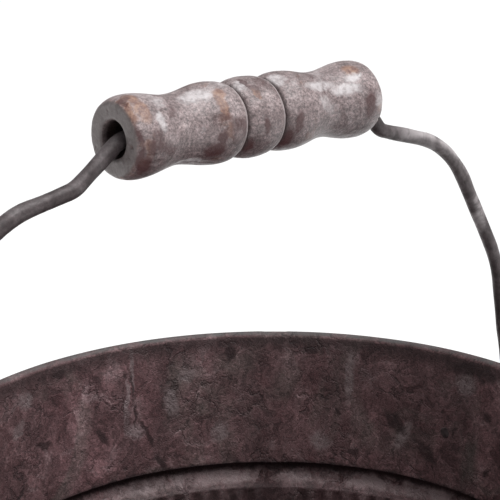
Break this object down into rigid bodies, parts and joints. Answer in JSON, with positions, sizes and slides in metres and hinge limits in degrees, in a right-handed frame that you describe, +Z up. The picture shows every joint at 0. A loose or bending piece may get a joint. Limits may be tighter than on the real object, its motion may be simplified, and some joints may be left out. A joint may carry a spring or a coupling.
{
  "type": "sand bucket",
  "caption": "Round tapered zinc pail with swaged beads, a wire bail that swings in riveted ears, and a turned wooden grip that spins on the wire.",
  "frame": {"origin": "middle of the ring that the pail stands on, on the floor", "axes": "+Z up, +X along the bail's hinge line towards the right-hand ear, +Y towards the side that the bail leans to at rest"},
  "size_m": [0.251, 0.2322, 0.3178],
  "materials": {
    "washed_zinc": "matt, mottled dark wash over zinc",
    "steel_wire": "matt, weathered",
    "ear_steel": "matt, weathered",
    "washed_wood": "limewashed, weathered"
  },
  "bodies": {
    "pail": {"side_wall": "washed_zinc", "rim_wire": "steel_wire", "bottom": "washed_zinc", "ear_left": "ear_steel", "ear_right": "ear_steel", "rivet_left_front": "ear_steel", "rivet_left_back": "ear_steel", "rivet_right_front": "ear_steel", "rivet_right_back": "ear_steel"},
    "bail": {"bail_wire": "steel_wire"},
    "grip": {"wooden_grip": "washed_wood"}
  },
  "joints": [
    {"name": "bail_swing", "type": "hinge", "parent": "pail", "child": "bail", "pos_m": [0, 0, 0.1829], "axis": [1, 0, 0], "range_deg": [-72, 80]},
    {"name": "grip_spin", "type": "hinge", "parent": "bail", "child": "grip", "pos_m": [0, 0.00856, 0.3053], "axis": [1, 0, 0], "continuous": true}
  ]
}
